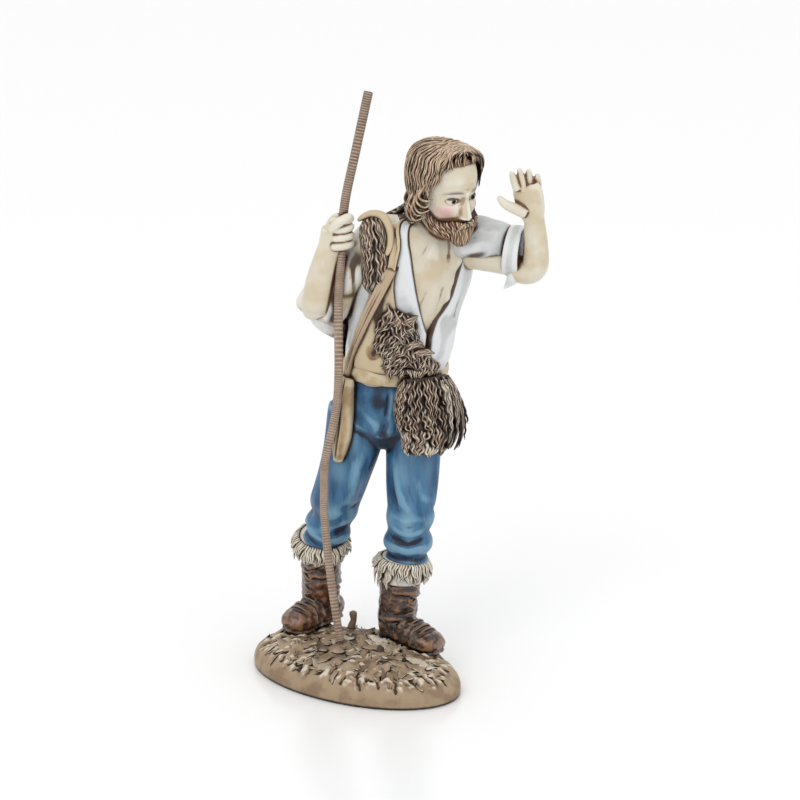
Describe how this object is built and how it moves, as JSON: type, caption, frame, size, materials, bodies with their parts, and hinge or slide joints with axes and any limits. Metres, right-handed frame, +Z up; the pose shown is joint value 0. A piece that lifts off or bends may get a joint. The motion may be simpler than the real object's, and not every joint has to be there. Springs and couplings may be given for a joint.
{
  "type": "nativity shepherd figurine",
  "caption": "Painted resin shepherd who shades his eyes and leans on a crooked staff, in shirt, sheepskin, blue trousers and boots, on a low oval grassy base.",
  "frame": {"origin": "middle of the base's flat underside", "axes": "+Z up, -Y the side that the hips face, +X towards the figure's left hand"},
  "size_m": [0.0623, 0.0384, 0.128],
  "materials": {
    "painted_resin": "hand-painted resin with a dark brown wash in the hollows, satin",
    "staff_paint": "brown paint, ribbed, nearly matt"
  },
  "bodies": {
    "root": {"figure": "painted_resin", "staff": "staff_paint"}
  },
  "joints": []
}
